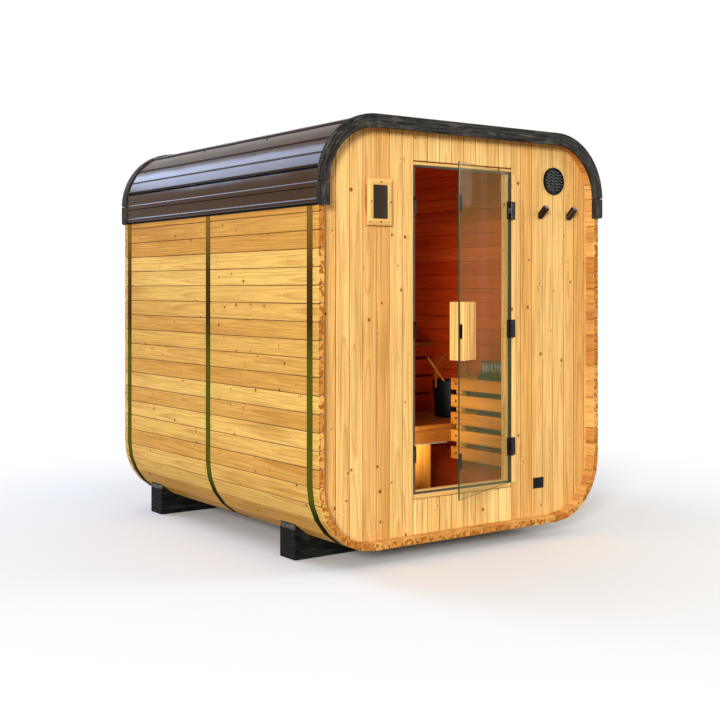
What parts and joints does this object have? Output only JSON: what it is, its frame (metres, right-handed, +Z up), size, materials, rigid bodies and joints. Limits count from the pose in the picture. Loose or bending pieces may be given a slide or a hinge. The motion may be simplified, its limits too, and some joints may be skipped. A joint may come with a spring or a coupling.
{
  "type": "cube sauna",
  "caption": "Cube-shaped outdoor sauna of horizontal staves with rounded corners, ribbed sheet roof, glass door and fitted benches.",
  "frame": {"origin": "on the ground, under the middle of the box that holds the part with its door ajar", "axes": "+X to the right seen from the door, +Y from the door to the back wall, +Z up"},
  "size_m": [2.026, 2.55, 2.33],
  "materials": {
    "wall_boards": "satin oiled",
    "side_staves": "satin oiled",
    "black_wood": "matt stained",
    "roof_sheet": "gloss",
    "strap": "brushed",
    "seal": "matt",
    "glass": "polished",
    "black_metal": "satin",
    "grey_metal": "satin",
    "black_plastic": "moulded",
    "panel": "smooth",
    "bench_wood": "sanded",
    "stone": "rough"
  },
  "bodies": {
    "cabin": {"front_wall_left": "wall_boards", "front_wall_right": "wall_boards", "front_wall_head": "wall_boards", "front_wall_sill": "wall_boards", "back_wall": "wall_boards", "left_wall": "side_staves", "right_wall": "side_staves", "floor": "side_staves", "ceiling": "side_staves", "corners_top": "side_staves", "corners_bottom": "side_staves", "straps": "strap", "roof_sheets_sides": "roof_sheet", "roof_sheet_top": "roof_sheet", "front_trim_top": "black_wood", "front_trim_curves": "black_wood", "front_trim_ends": "black_wood", "rear_trim_top": "black_wood", "rear_trim_curves": "black_wood", "rear_trim_ends": "black_wood", "cradles": "black_wood", "door_frame": "wall_boards", "door_seal": "seal", "hinge_batten": "wall_boards", "hinge_fixed_leaves": "black_metal", "door_catches": "grey_metal", "vent_grille": "black_plastic", "coat_pegs": "black_wood", "panel_frame": "wall_boards", "dark_panel": "panel", "badge_plate": "black_plastic", "lower_bench_seat": "bench_wood", "lower_bench_frame": "bench_wood", "upper_bench_seat": "bench_wood", "upper_bench_skirt": "bench_wood", "bucket": "black_metal", "bucket_handle": "wall_boards", "ladle": "wall_boards", "heater": "black_metal", "heater_stones": "stone", "heater_guard": "bench_wood"},
    "door": {"door_glass": "glass", "door_handles": "wall_boards", "hinge_moving_leaves": "black_metal", "strike_plates": "grey_metal"}
  },
  "joints": [
    {"name": "door_hinge", "type": "hinge", "parent": "cabin", "child": "door", "pos_m": [0.34, -0.982, 1.208], "axis": [0, 0, 1], "range_deg": [-25, 85]}
  ]
}
